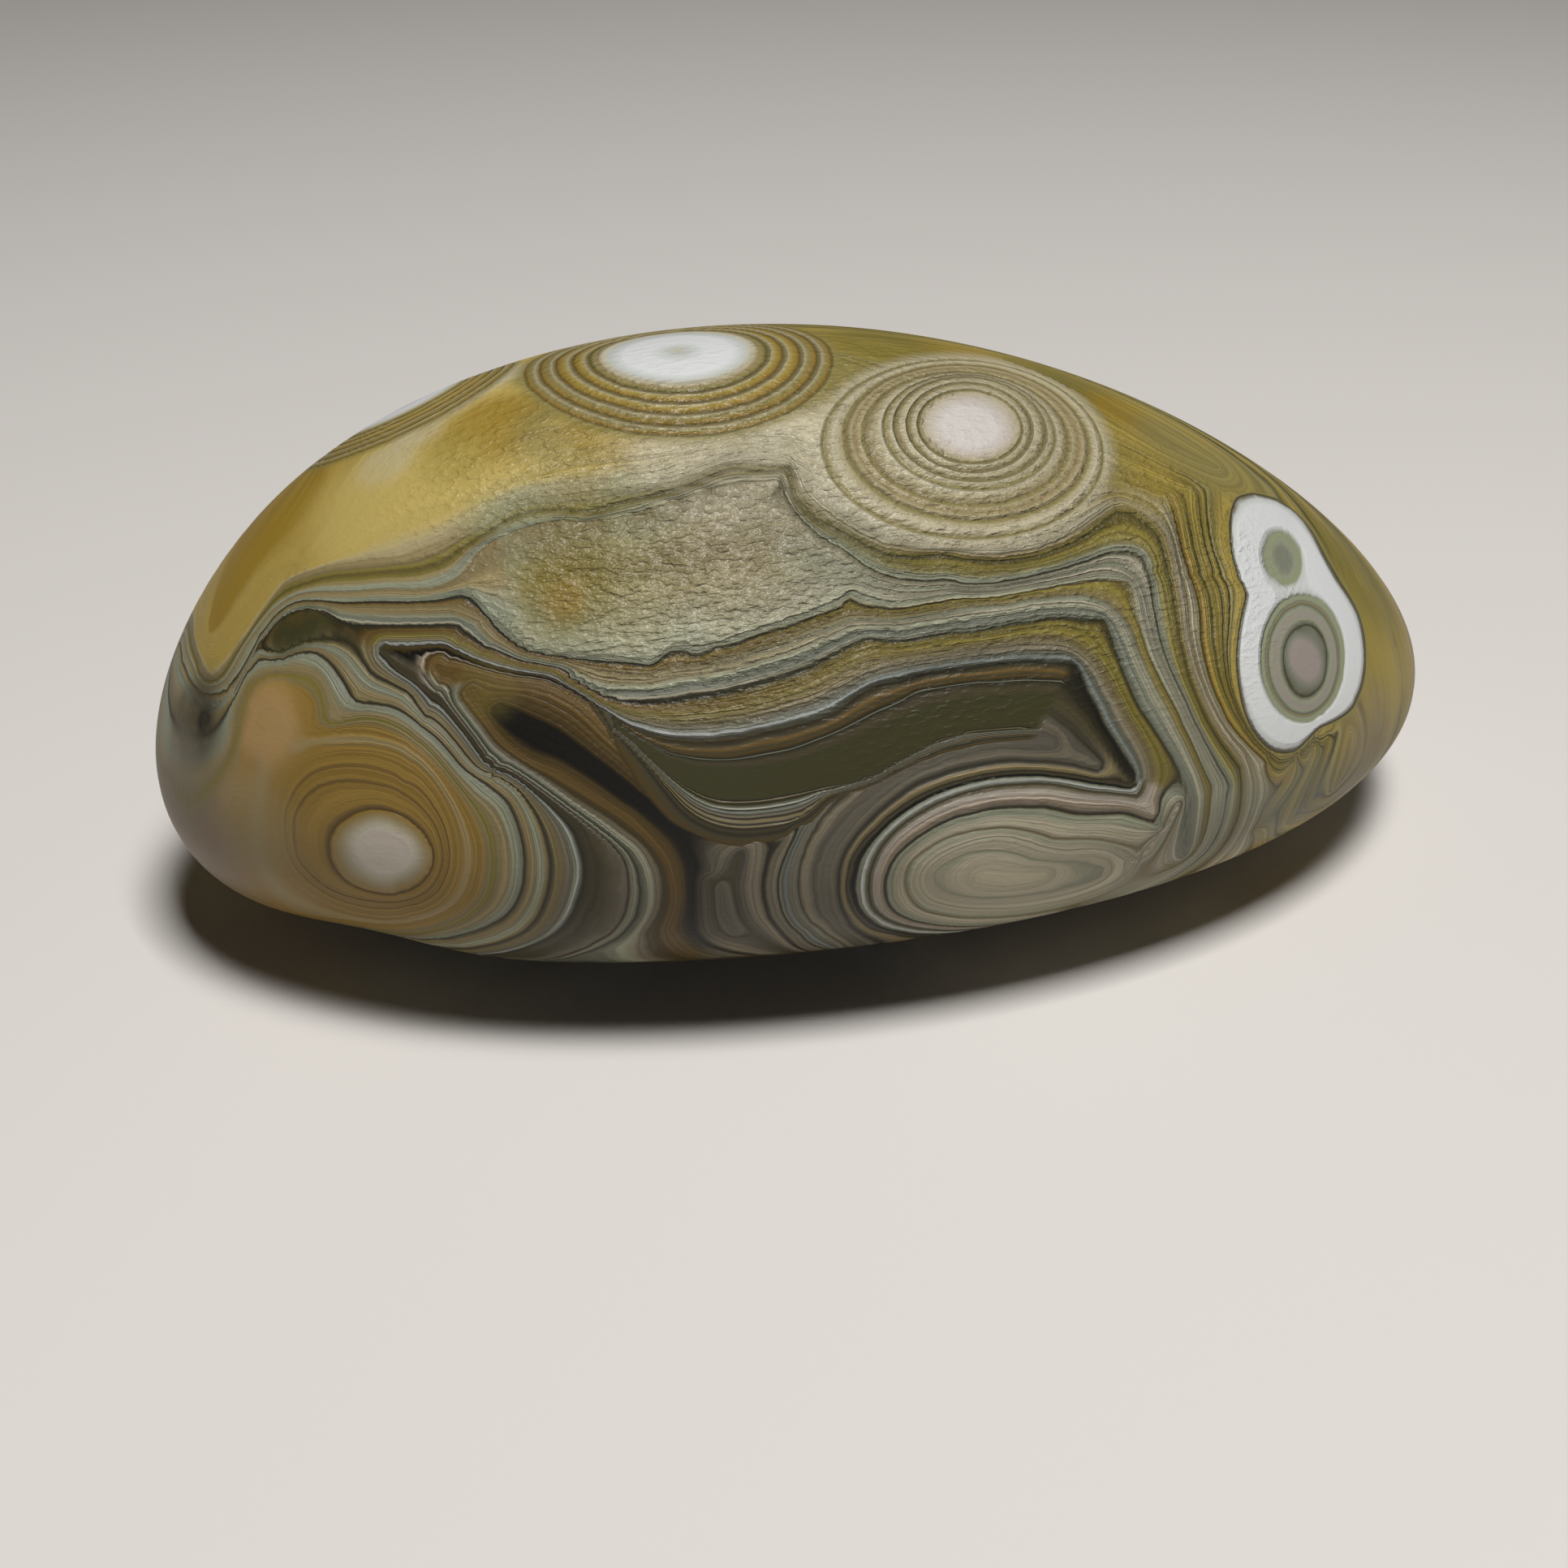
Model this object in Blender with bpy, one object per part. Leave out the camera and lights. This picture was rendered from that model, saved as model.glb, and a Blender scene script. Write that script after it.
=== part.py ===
"""A gobi eye agate palm stone: one wind-polished pebble of banded chalcedony, resting on a small flat.

Units are metres and +Z is up. The long axis runs along X, with the blunt end at -X and the pointed
end at +X. The origin is on the surface that the stone rests on, under the middle of its length and width.
Run it with: blender --background --python part.py
"""

import math

import bmesh
import bpy
from mathutils import Vector

MM = 0.001

# Driving dimensions of the whole pebble
LENGTH = 62.0 * MM
WIDTH = 37.0 * MM
HEIGHT = 25.2 * MM

# How the egg form departs from a plain ellipsoid; t runs from -1 at the blunt end to +1 at the nose
WIDTH_TAPER = 0.05  # the plan is a little fuller towards the nose
HEIGHT_TAPER = -0.14  # the side view is fuller towards the blunt end
END_FULLNESS = 0.05  # both ends are a little fuller than an ellipse
NOSE_TAPER = -0.07  # the nose thins quicker than the blunt end
DOME = 0.27  # the top is domed and the underside is flatter
SPINE_TILT = -1.25 * MM  # the middle line drops towards the nose
SPINE_BOW = -1.5 * MM  # the middle line drops towards both ends
SPINE_TWIST = 0.45 * MM  # and lifts again at the very nose

# Broad worn facets and hollows: centre, reach and depth, measured from the middle of the egg form
WORN_PLACES = (
    (Vector((-24.0, -9.0, -7.0)) * MM, 5.0 * MM, 0.70 * MM),  # hollow low on the blunt end, in front
    (Vector((-28.0, -2.0, 6.0)) * MM, 7.0 * MM, 0.60 * MM),  # flat on the blunt end's shoulder
    (Vector((9.0, 17.5, -2.0)) * MM, 10.0 * MM, 0.60 * MM),  # long facet on the back
    (Vector((-12.0, 15.0, 7.0)) * MM, 7.0 * MM, 0.35 * MM),  # shallow dish on the upper back
    (Vector((23.0, 8.0, -6.5)) * MM, 6.0 * MM, 0.45 * MM),  # facet under the nose, at the back
)

# The flat that the stone rests on is worn this far into the round of the underside
REST_DEPTH = 0.12 * MM

# The surface is a cube's six grids of this many squares a side, blown up to a ball and then to the egg
GRID = 28

STONE_COLOUR = (0.33, 0.30, 0.15, 1.0)
STONE_ROUGHNESS = 0.36


def clear_scene():
    """Start from an empty scene."""
    for thing in list(bpy.data.objects):
        bpy.data.objects.remove(thing, do_unlink=True)


def egg_point(n):
    """The egg form's point in the direction of the unit vector n."""
    t = n.x
    width = WIDTH / 2 * math.exp(WIDTH_TAPER * t)
    height = HEIGHT / 2 * math.exp(HEIGHT_TAPER * t + END_FULLNESS * t * t + NOSE_TAPER * t**3)
    spine = SPINE_TILT * t + SPINE_BOW * t * t + SPINE_TWIST * t**3
    return Vector((LENGTH / 2 * t, width * n.y, height * (n.z + DOME * n.z * n.z) + spine))


def outward(p):
    """The outward direction at p, taken from the ellipsoid that the egg form comes from."""
    slope = Vector((p.x / (LENGTH / 2) ** 2, p.y / (WIDTH / 2) ** 2, p.z / (HEIGHT / 2) ** 2))
    return slope.normalized()


def stone_point(n):
    """The worn stone's point in the direction n: the egg form less its facets and hollows."""
    p = egg_point(n)
    for centre, reach, depth in WORN_PLACES:
        away = (p - centre).length / reach
        p = p - outward(p) * depth * math.exp(-away * away)
    return p


def ball_direction(corner):
    """The direction of a point on the cube of side 2, spread so that all squares come out alike in size."""
    return Vector([math.tan(c * math.pi / 4) for c in corner]).normalized()


def cut_resting_flat(bm):
    """Wear a small level flat on the underside, at the lowest point."""
    lowest = min(v.co.z for v in bm.verts)
    level = Vector((0, 0, lowest + REST_DEPTH))
    everything = bm.verts[:] + bm.edges[:] + bm.faces[:]
    cut = bmesh.ops.bisect_plane(bm, geom=everything, plane_co=level, plane_no=(0, 0, 1), clear_inner=True)
    rim = [part for part in cut["geom_cut"] if isinstance(part, bmesh.types.BMEdge)]
    bmesh.ops.holes_fill(bm, edges=rim, sides=len(rim))


def stand_on_origin(bm):
    """Move the stone so that the origin is under the middle of its box, on the resting surface."""
    low = Vector([min(v.co[axis] for v in bm.verts) for axis in range(3)])
    high = Vector([max(v.co[axis] for v in bm.verts) for axis in range(3)])
    base = Vector(((low.x + high.x) / 2, (low.y + high.y) / 2, low.z))
    bmesh.ops.translate(bm, verts=bm.verts, vec=-base)


def build_stone():
    """The pebble, as one closed mesh."""
    bm = bmesh.new()
    bmesh.ops.create_cube(bm, size=2)
    bmesh.ops.subdivide_edges(bm, edges=bm.edges, cuts=GRID - 1, use_grid_fill=True)
    for v in bm.verts:
        v.co = stone_point(ball_direction(v.co))
    cut_resting_flat(bm)
    stand_on_origin(bm)
    bmesh.ops.triangulate(bm, faces=bm.faces)
    bmesh.ops.recalc_face_normals(bm, faces=bm.faces)
    mesh = bpy.data.meshes.new("stone")
    bm.to_mesh(mesh)
    bm.free()
    mesh.shade_smooth()
    return bpy.data.objects.new("stone", mesh)


def agate():
    """Satin olive chalcedony."""
    material = bpy.data.materials.new("agate")
    material.use_nodes = True
    shader = material.node_tree.nodes["Principled BSDF"]
    shader.inputs["Base Color"].default_value = STONE_COLOUR
    shader.inputs["Roughness"].default_value = STONE_ROUGHNESS
    shader.inputs["Metallic"].default_value = 0.0
    return material


def main():
    clear_scene()
    parts = bpy.data.collections.new("eye agate palm stone")
    bpy.context.scene.collection.children.link(parts)
    stone = build_stone()
    stone.data.materials.append(agate())
    parts.objects.link(stone)


main()
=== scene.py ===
# %% [markdown]
# # A gobi eye agate palm stone
# One pebble of banded chalcedony, polished by desert wind. The whole look is in its bands: thin layers of
# silica that grew inwards from the eyes, each a slightly different colour. The bands are not painted here one
# by one. A few growth lines are drawn, a smooth growth time is spread over the skin between them, and
# every material colour is then read from that growth time.

# %% Load the frame
import math

import bpy
import numpy as np
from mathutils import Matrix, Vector
from mathutils.bvhtree import BVHTree


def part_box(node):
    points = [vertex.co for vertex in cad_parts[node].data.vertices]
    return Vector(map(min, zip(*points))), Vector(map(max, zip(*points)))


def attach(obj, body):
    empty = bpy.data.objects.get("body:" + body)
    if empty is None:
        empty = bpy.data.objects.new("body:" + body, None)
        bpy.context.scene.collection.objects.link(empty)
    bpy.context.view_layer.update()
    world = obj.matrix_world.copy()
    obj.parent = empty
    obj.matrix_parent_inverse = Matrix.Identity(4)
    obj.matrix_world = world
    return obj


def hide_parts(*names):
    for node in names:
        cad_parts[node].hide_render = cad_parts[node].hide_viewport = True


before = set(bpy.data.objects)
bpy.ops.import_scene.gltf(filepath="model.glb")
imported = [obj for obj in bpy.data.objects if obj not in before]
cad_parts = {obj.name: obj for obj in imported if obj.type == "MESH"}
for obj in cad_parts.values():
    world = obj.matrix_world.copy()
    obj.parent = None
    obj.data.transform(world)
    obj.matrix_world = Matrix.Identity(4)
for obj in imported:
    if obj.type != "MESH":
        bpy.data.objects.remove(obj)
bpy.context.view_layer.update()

MM = 0.001
cad_low, cad_high = (Vector(corner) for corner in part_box("stone"))
print("CAD box in mm:", [round(side / MM, 1) for side in cad_high - cad_low])

# %% [markdown]
# ## The form
# The skin repeats the egg form of the CAD solid, from the same few dimensions, but on a much finer grid.
# A ball made from a cube's six grids has squares of nearly one size all over, with no poles, so lines cross
# it cleanly in every direction. The grid has more squares along the stone than across it, because the stone
# is long.

# %% The dimensions of the stone
LENGTH, WIDTH, HEIGHT = 62.0, 37.0, 25.2
WIDTH_TAPER = 0.05
HEIGHT_TAPER, END_FULLNESS, NOSE_TAPER = -0.14, 0.05, -0.07
DOME = 0.27
SPINE_TILT, SPINE_BOW, SPINE_TWIST = -1.25, -1.5, 0.45
WORN_PLACES = (
    ((-24.0, -9.0, -7.0), 5.0, 0.70),
    ((-28.0, -2.0, 6.0), 7.0, 0.60),
    ((9.0, 17.5, -2.0), 10.0, 0.60),
    ((-12.0, 15.0, 7.0), 7.0, 0.35),
    ((23.0, 8.0, -6.5), 6.0, 0.45),
)
REST_DEPTH = 0.12
GRID = (220, 90, 92)


def stone_points(n):
    """Points in mm on the worn egg form, one for each unit direction in n."""
    t = n[:, 0]
    width = WIDTH / 2 * np.exp(WIDTH_TAPER * t)
    height = HEIGHT / 2 * np.exp(HEIGHT_TAPER * t + END_FULLNESS * t**2 + NOSE_TAPER * t**3)
    spine = SPINE_TILT * t + SPINE_BOW * t**2 + SPINE_TWIST * t**3
    p = np.stack([LENGTH / 2 * t, width * n[:, 1], height * (n[:, 2] + DOME * n[:, 2] ** 2) + spine], 1)
    for centre, reach, depth in WORN_PLACES:
        slope = p / np.square([LENGTH / 2, WIDTH / 2, HEIGHT / 2])
        slope /= np.linalg.norm(slope, axis=1)[:, None]
        away = ((p - centre) ** 2).sum(1) / reach**2
        p = p - slope * (depth * np.exp(-away))[:, None]
    return p


# %% The grid on a cube, blown up to a ball
def cube_grid(cells):
    """Whole-number corners of the squares on a box of cells, each corner once, and the squares' corners."""
    quads = []
    for axis in range(3):
        u, v = (axis + 1) % 3, (axis + 2) % 3
        a, b = np.meshgrid(np.arange(cells[u]), np.arange(cells[v]), indexing="ij")
        for side in (0, cells[axis]):
            ring = ((0, 0), (1, 0), (1, 1), (0, 1)) if side else ((0, 0), (0, 1), (1, 1), (1, 0))
            for du, dv in ring:
                corner = np.zeros((a.size, 3), int)
                corner[:, axis] = side
                corner[:, u] = a.ravel() + du
                corner[:, v] = b.ravel() + dv
                quads.append(corner)
    stacked = np.concatenate([np.stack(quads[k : k + 4], 1) for k in range(0, 24, 4)])
    corners, index = np.unique(stacked.reshape(-1, 3), axis=0, return_inverse=True)
    return corners, index.reshape(-1, 4)


corners, quads = cube_grid(GRID)
ball = np.tan((2.0 * corners / GRID - 1) * math.pi / 4)
ball /= np.linalg.norm(ball, axis=1)[:, None]
skin = stone_points(ball)
floor_level = skin[:, 2].min() + REST_DEPTH
skin[:, 2] = np.maximum(skin[:, 2], floor_level)
middle = (skin.min(0) + skin.max(0)) / 2
skin -= (middle[0], middle[1], floor_level)
print("skin:", len(skin), "points,", 2 * len(quads), "triangles,", (skin.max(0) - skin.min(0)).round(2), "mm")

# %% [markdown]
# ## The camera
# The camera comes first, because the growth lines are drawn in its picture. It stands a little to the left
# of the stone and looks down on it, with a normal lens.

# %% Place the camera
PICTURE = 1932
LENS, SENSOR = 50.0, 36.0
AZIMUTH, ELEVATION = math.radians(-17.33), math.radians(30.0)
TARGET = np.array([-1.586, 0.139, 2.654])
DISTANCE = 107.61
back = np.array(
    [math.sin(AZIMUTH) * math.cos(ELEVATION), -math.cos(AZIMUTH) * math.cos(ELEVATION), math.sin(ELEVATION)]
)
right = np.array([math.cos(AZIMUTH), math.sin(AZIMUTH), 0.0])
up = np.cross(back, right)
eye = TARGET + back * DISTANCE
focal = PICTURE * LENS / SENSOR

camera_data = bpy.data.cameras.new("camera")
camera_data.lens, camera_data.sensor_width = LENS, SENSOR
camera_data.clip_start, camera_data.clip_end = 0.005, 10.0
camera = bpy.data.objects.new("camera", camera_data)
camera.location = Vector(eye) * MM
camera.rotation_euler = Vector(back).to_track_quat("Z", "Y").to_euler()
bpy.context.scene.collection.objects.link(camera)
bpy.context.scene.camera = camera

# %% [markdown]
# ## The growth lines
# Each line is written as the points it passes through in the camera's picture, in pixels. The number in front
# of it is its growth time: 0 is the last black layer around the dark core, higher numbers are the layers laid
# down earlier, up to the eyes, and lower numbers are inside the core. Lines with the same number are the same
# layer, seen on two sides of the core.

# %% Lines above the core
ABOVE = [
    (-3.0, "540,822 580,832 620,842 660,846 690,856 720,876 750,906 775,930 800,956 825,985"),
    (0.0, "470,800 470,800 500,800 530,797 552,799 575,810 600,820 640,829 672,834 700,846 722,860 745,877"),
    (0.0, "745,877 765,892 785,903 810,912 840,916 872,917 905,914 940,906 975,899 1000,892 1020,885"),
    (0.0, "1020,885 1040,874 1060,858 1080,848 1110,841 1150,831 1200,824 1240,819 1260,817 1290,818"),
    (0.0, "1290,818 1322,819 1322,819 1328,826 1335,844 1348,870 1362,897 1375,918 1388,938 1399,957"),
    (5.0, "324,790 336,772 350,760 366,753 382,751 398,754 412,762 426,769 445,772 520,772 556,771 566,775"),
    (5.0, "566,775 580,786 598,799"),
    (5.0, "700,835 722,848 745,860 756,863 780,866"),
    (5.0, "780,866 810,866 840,862 870,858 900,853 940,843 975,833 1000,823 1020,813 1040,801 1060,791"),
    (5.0, "1060,791 1070,789 1100,791 1130,789 1160,782 1200,779 1240,772 1270,767 1300,762 1340,765"),
    (5.0, "1340,765 1361,766 1361,766 1368,782 1377,810 1388,840 1402,870 1420,898 1438,925 1450,948 1458,968"),
    (5.0, "1458,968 1463,985 1463,1000 1460,1020 1461,1040 1459,1055"),
    (6.0, "218,800 222,822 232,845 245,858 256,862 268,862 281,857 289,846 297,833 307,816 314,801 320,787"),
    (9.0, "224,815 234,838 247,853 262,857 277,853 287,842 296,828 305,812 313,797 322,781 338,760"),
    (9.0, "338,760 352,748 372,741 400,741 425,743 450,742 500,742"),
    (9.0, "500,742 540,740 562,735 579,733 579,733 590,747 605,768 625,788 645,801 670,807 700,812 740,816"),
    (9.0, "740,816 780,818 798,822 812,816 822,806 840,803 855,808 870,805 885,797 905,795 930,785 960,775"),
    (9.0, "960,775 985,768 1005,760 1025,752 1040,745 1047,736 1056,745 1080,750 1100,751 1130,747 1150,743"),
    (9.0, "1150,743 1180,738 1210,737 1240,733 1280,727 1310,721 1340,716 1360,715 1391,718 1391,718 1399,740"),
    (9.0, "1399,740 1405,770 1415,803 1429,836 1444,864 1458,892 1471,920 1483,947 1493,970 1492,988"),
    (10.3, "228,812 237,832 247,845 256,850 266,851 276,846 286,834 295,820 304,804 312,790 325,770"),
    (12.0, "240,836 252,845 264,845 276,839 288,822 299,802 309,786 320,772 330,758 350,742 372,732 400,730 430,730 470,727 500,727 530,726 555,718 570,705 585,685"),
    (12.0, "585,685 605,667 640,652 680,642 720,642 760,638 800,626 850,610 890,597 940,592 962,592 970,612"),
    (12.0, "970,612 985,637 1010,660 1040,677 1070,700 1100,712 1140,716 1170,716 1200,720 1240,717 1280,708"),
    (12.0, "1280,708 1320,698 1345,690 1370,682 1392,680 1408,690 1418,715 1424,760 1433,800 1446,832 1460,862"),
    (12.0, "1460,862 1474,892 1488,920 1502,946 1516,970"),
    (15.0, "245,830 254,839 265,839 274,832 282,820 292,802 304,784 318,764 335,743 350,730 370,722 400,713 440,708 480,705 520,700 545,692"),
    (15.0, "545,692 562,680 580,668 600,657 620,643 650,630 690,628 730,630 770,618 810,610 850,598 880,585"),
    (15.0, "880,585 905,578 940,580 973,578 973,578 975,598 985,620 1005,640 1035,655 1060,668 1085,680 1110,686"),
    (15.0, "1110,686 1140,685 1165,684 1200,690 1235,691 1270,687 1305,677 1335,662 1358,645 1378,631 1392,634"),
    (15.0, "1392,634 1410,645 1428,660 1436,690 1444,725 1450,760 1457,800 1467,840 1481,875 1496,905 1512,928"),
    (15.0, "1512,928 1528,948"),
    (17.0, "248,820 256,832 266,831 280,815 300,788 320,757 345,724 362,712 400,700 450,692 500,687 540,672 570,655 600,636 640,616"),
    (17.0, "640,616 700,608 760,603 820,590 870,573 900,563 960,562 985,580 1000,605 1030,630 1060,650 1090,663"),
    (17.0, "1090,663 1130,672 1200,679 1250,677 1300,664 1345,635 1375,616 1397,620 1420,633 1440,655 1450,690"),
    (17.0, "1450,690 1457,730 1461,770 1470,815 1482,850 1497,882 1514,908 1532,930"),
    (20.5, "1437,610 1448,650 1458,690 1470,725 1476,750 1478,790 1487,830 1500,865 1517,897 1540,922 1560,940"),
    (24.0, "1466,603 1469,640 1477,680 1487,710 1496,740 1499,775 1503,815 1511,850 1524,880 1541,908 1562,929"),
    (28.0, "1489,600 1490,640 1498,680 1510,710 1518,735 1516,770 1514,800 1517,840 1530,880 1548,908 1572,930"),
    (29.2, "1522,605 1508,612 1507,650 1513,690 1522,715 1532,734 1526,760 1521,790 1520,830 1526,865 1540,895"),
    (29.2, "1540,895 1556,917 1577,932 1600,930 1620,913 1640,896"),
    (34.0, "262,770 282,720 300,690 330,640 365,595 405,555"),
    (27.5, "455,548 428,580 413,607 400,640 387,663 370,685"),
    (20.0, "490,560 462,600 445,640 432,662"),
    (20.0, "560,600 620,560 700,545 790,530"),
    (22.0, "620,480 640,450 700,425"),
    (4.6, "350,784 376,772"),
    (20.0, "810,540 860,530 910,520 960,505 1005,470 1010,440"),
    (34.0, "880,418 1000,420 1100,428 1200,440 1300,465 1380,510 1440,550 1500,575"),

    (10.0, "575,733 588,739 605,757 625,777 645,791 680,799 740,806 775,808 800,812 815,804 828,796 845,794"),
    (10.0, "845,794 870,793 900,783 960,762 1010,746 1042,730"),
    (21.0, "1610,912 1590,947 1570,980 1555,1000"),
    (23.4, "1622,914 1610,945 1595,972 1577,995 1550,1020"),
    (26.0, "1636,910 1626,940 1612,970 1602,992 1590,1010"),
    (27.6, "1648,902 1641,927 1630,955 1618,985"),
    (29.5, "1664,905 1657,940 1642,972"),
]
print(len(ABOVE), "growth lines above the core")

# %% Lines below the core
BELOW = [
    (-8.0, "610,872 640,890 680,910 720,935 760,965 800,992 830,1012 860,1042 875,1075"),
    (-9.6, "872,1085 876,1110 880,1150"),
    (-6.0, "575,850 600,885 625,915 655,935 690,947 720,965 750,985 780,1005 805,1030 825,1055 836,1085"),
    (-6.0, "836,1085 837,1115 826,1145"),
    (-4.0, "620,925 650,945 690,970 730,995 765,1018 795,1042 812,1067 818,1095 812,1125 795,1150"),
    (-2.4, "620,940 640,948 660,961 685,979 710,998 735,1016 760,1034 780,1052 792,1075 796,1102 790,1130"),
    (-2.4, "790,1130 773,1152 745,1168 715,1178"),
    (-0.6, "606,946 620,943 636,951 655,965 680,984 705,1003 730,1022 750,1038 764,1056 771,1080 771,1105"),
    (-0.6, "771,1105 763,1130 745,1152 718,1168"),
    (0.0, "470,800 470,800 490,822 515,842 540,862 558,882 575,903 590,925 598,938"),
    (0.0, "612,950 630,955 650,968 675,986 695,1003 712,1018 722,1035 729,1060 729,1085 722,1110 708,1135"),
    (0.0, "708,1135 690,1152 660,1166"),
    (5.0, "330,803 345,804 360,798 378,791 400,788 422,789 434,796 445,812 457,829 470,837 490,847 505,855"),
    (5.0, "604,951 618,958 633,968 645,980 658,1000 668,1022"),
    (5.0, "668,1022 676,1050 678,1075 675,1100 665,1126 648,1147 622,1160 590,1168"),
    (9.0, "318,813 345,812 360,807 375,804 388,805 400,812 412,826 422,841 432,858 442,866 462,868 482,872"),
    (9.0, "482,872 502,882 522,897 542,914 558,932 572,948 586,958 600,968 615,980 625,990 632,1003 640,1025"),
    (9.0, "640,1025 645,1050 646,1072 644,1092 636,1112 620,1130 595,1143 560,1153 530,1157"),
    (12.0, "284,912 287,890 290,868 297,850 308,836 325,827 350,824 375,826 392,833 402,848 409,868 412,886"),
    (12.0, "412,886 412,886 420,883 432,880 450,879 470,882 490,889 510,902 530,919 548,939 565,960 582,980"),
    (12.0, "582,980 600,995 612,1010 620,1032 625,1058 624,1085 614,1110 595,1130 568,1144 535,1152"),
    (13.0, "294,905 298,885 302,865 309,848 322,837 340,832 362,832 382,838 393,850 399,868 403,889 403,889"),
    (13.0, "403,889 412,892 425,889 442,885 462,885 482,891 502,902 522,918 541,938 558,958 574,977 590,998"),
    (13.0, "590,998 602,1022 608,1050 608,1080 600,1104 583,1125 558,1140 525,1149"),
    (15.0, "304,900 308,880 313,860 325,848 342,843 362,846 380,856 388,873 387,890"),
    (15.0, "385,898 420,896 450,895 475,900 500,911 520,926 540,947 558,970 575,995 588,1022 594,1052 592,1082"),
    (15.0, "592,1082 583,1106 563,1124 535,1137 500,1143"),
    (17.0, "362,918 385,912 410,910 440,909 470,913 497,922 520,938 540,960 557,985 570,1012 578,1042 578,1075"),
    (17.0, "578,1075 568,1102 548,1120 520,1132 480,1138 440,1134"),
    (17.6, "325,870 342,880 345,900 338,925 322,925 312,905 312,885 325,870"),
    (19.0, "340,1000 350,968 362,948 380,935 405,927 435,925 465,928 492,936 515,952 535,974 550,1000 560,1030"),
    (19.0, "560,1030 562,1062 555,1090 538,1110 510,1123 470,1128 430,1121 395,1106 365,1083 346,1050 340,1000"),
    (22.5, "360,1032 361,1010 370,990 384,976 404,966 430,962 460,965 485,972 507,985 525,1002 538,1022 545,1050"),
    (22.5, "545,1050 542,1075 528,1096 502,1109 468,1111 430,1104 400,1091 378,1072 365,1054 360,1032"),
    (10.5, "205,925 225,934 248,932 266,924 278,908"),
    (14.0, "208,960 215,1000 235,1050 270,1085"),
    (-11.0, "905,1150 890,1120 888,1090"),
    (-10.0, "912,1050 908,1075 904,1095 908,1120 920,1140 945,1160"),
    (-8.8, "930,1040 925,1070 922,1095 928,1122 945,1145"),
    (-7.4, "967,1033 951,1055 944,1080 943,1105 950,1130 965,1150"),
    (-6.0, "1005,993 990,1012 976,1038 965,1065 960,1090 962,1115 970,1135 985,1150"),
    (-4.0, "1062,964 1042,978 1022,997 1005,1018 992,1045 984,1075 983,1100 988,1120 1000,1138"),
    (-3.0, "1300,915 1240,914 1190,923 1150,937 1110,958 1075,980 1045,1005 1022,1035 1008,1065 1004,1095"),
    (-3.0, "1004,1095 1010,1120 1025,1140"),
    (-2.0, "1355,945 1320,936 1290,932 1250,931 1200,936 1150,950 1110,972 1080,995 1060,1015 1042,1040"),
    (-2.0, "1042,1040 1031,1065 1029,1090 1031,1115 1042,1138"),
    (0.0, "1396,967 1350,961 1320,956 1285,951 1250,951 1215,955 1180,963 1150,974 1125,987 1100,1003 1080,1021"),
    (0.0, "1080,1021 1062,1040 1050,1060 1044,1085 1046,1110 1058,1130 1080,1146 1110,1152"),
    (1.9, "1402,981 1370,977 1340,975 1320,971 1290,966 1255,966 1220,970 1185,979 1155,991 1130,1004 1108,1020"),
    (1.9, "1108,1020 1090,1038 1078,1058 1071,1080 1070,1100 1076,1118 1092,1132 1115,1141 1150,1146"),
    (3.5, "1424,1002 1400,993 1370,988 1340,986 1310,984 1285,981 1250,981 1215,985 1180,994 1150,1006 1125,1021"),
    (3.5, "1125,1021 1105,1038 1091,1057 1083,1080 1082,1100 1089,1120 1106,1132 1135,1139"),
    (5.0, "1430,1020 1412,1010 1390,1003 1360,1003 1330,1003 1305,999 1280,995 1250,995 1215,999 1180,1008"),
    (5.0, "1180,1008 1152,1020 1128,1035 1108,1052 1096,1070 1090,1090 1092,1108 1102,1123 1120,1133 1150,1140"),
    (5.0, "1150,1140 1200,1142 1250,1138"),
    (9.0, "1402,1048 1380,1040 1350,1035 1320,1034 1300,1034 1280,1028 1255,1022 1230,1021 1200,1024 1170,1032"),
    (9.0, "1170,1032 1145,1045 1125,1060 1116,1080 1118,1100 1130,1116 1155,1126 1200,1131 1260,1128 1330,1113"),
    (9.0, "1330,1113 1380,1093 1405,1070 1402,1048"),
    (11.0, "1390,1058 1370,1048 1340,1046 1315,1048 1290,1044 1265,1036 1240,1031 1210,1033 1180,1042 1155,1054"),
    (11.0, "1155,1054 1138,1070 1132,1088 1142,1105 1170,1115 1220,1120 1280,1115 1335,1102 1375,1085 1392,1070"),
    (13.0, "1360,1068 1330,1062 1300,1062 1275,1060 1250,1052 1220,1048 1190,1052 1165,1064 1150,1080 1160,1095"),
    (13.0, "1160,1095 1190,1104 1240,1105 1290,1098 1335,1088 1358,1078 1360,1068"),
    (16.0, "1205,1080 1240,1085 1290,1078"),
]
print(len(BELOW), "growth lines below the core")

LEFT_EYE = [
    (25.0, 470, 1050, 65, 50, -15),
    (28.0, 474, 1051, 24, 17, -15),
]

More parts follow.
